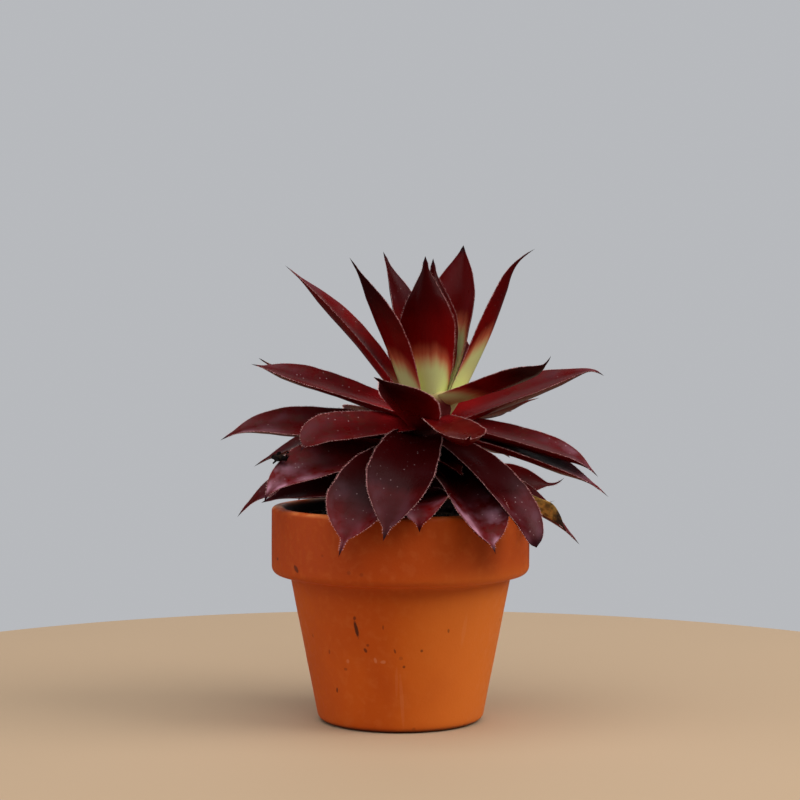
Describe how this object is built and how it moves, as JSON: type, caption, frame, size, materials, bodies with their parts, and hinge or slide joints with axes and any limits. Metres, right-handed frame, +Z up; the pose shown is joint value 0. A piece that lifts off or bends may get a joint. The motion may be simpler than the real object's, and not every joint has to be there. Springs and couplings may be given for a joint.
{
  "type": "potted houseleek",
  "caption": "Houseleek rosette of pointed dark red leaves on a short stem, growing in soil in a tapered clay pot with a heavy plain rim and a drain hole.",
  "frame": {"origin": "on the surface that the pot stands on, under the middle of the whole plant's box; the pot's own axis lies 4.0 mm to -X and 0.8 mm to -Y of it", "axes": "+Z up along the pot's axis, -Y towards the picture's viewer, +X to the viewer's right"},
  "size_m": [0.119, 0.0995, 0.1475],
  "materials": {
    "fired_clay": "matt fired clay, orange, with small dark specks and pale scuffs",
    "potting_soil": "near-black crumbly soil",
    "houseleek_leaf": "satin dark red leaf skin, yellow-green at the heart, with pale hairs along the margins",
    "withered_leaf": "dry yellow-brown crumpled leaf with a dark end",
    "dead_scrap": "dry blackened scrap of leaf"
  },
  "bodies": {
    "root": {"pot": "fired_clay", "soil": "potting_soil", "rosette": "houseleek_leaf", "withered_leaf": "withered_leaf", "dry_scrap": "dead_scrap"}
  },
  "joints": []
}
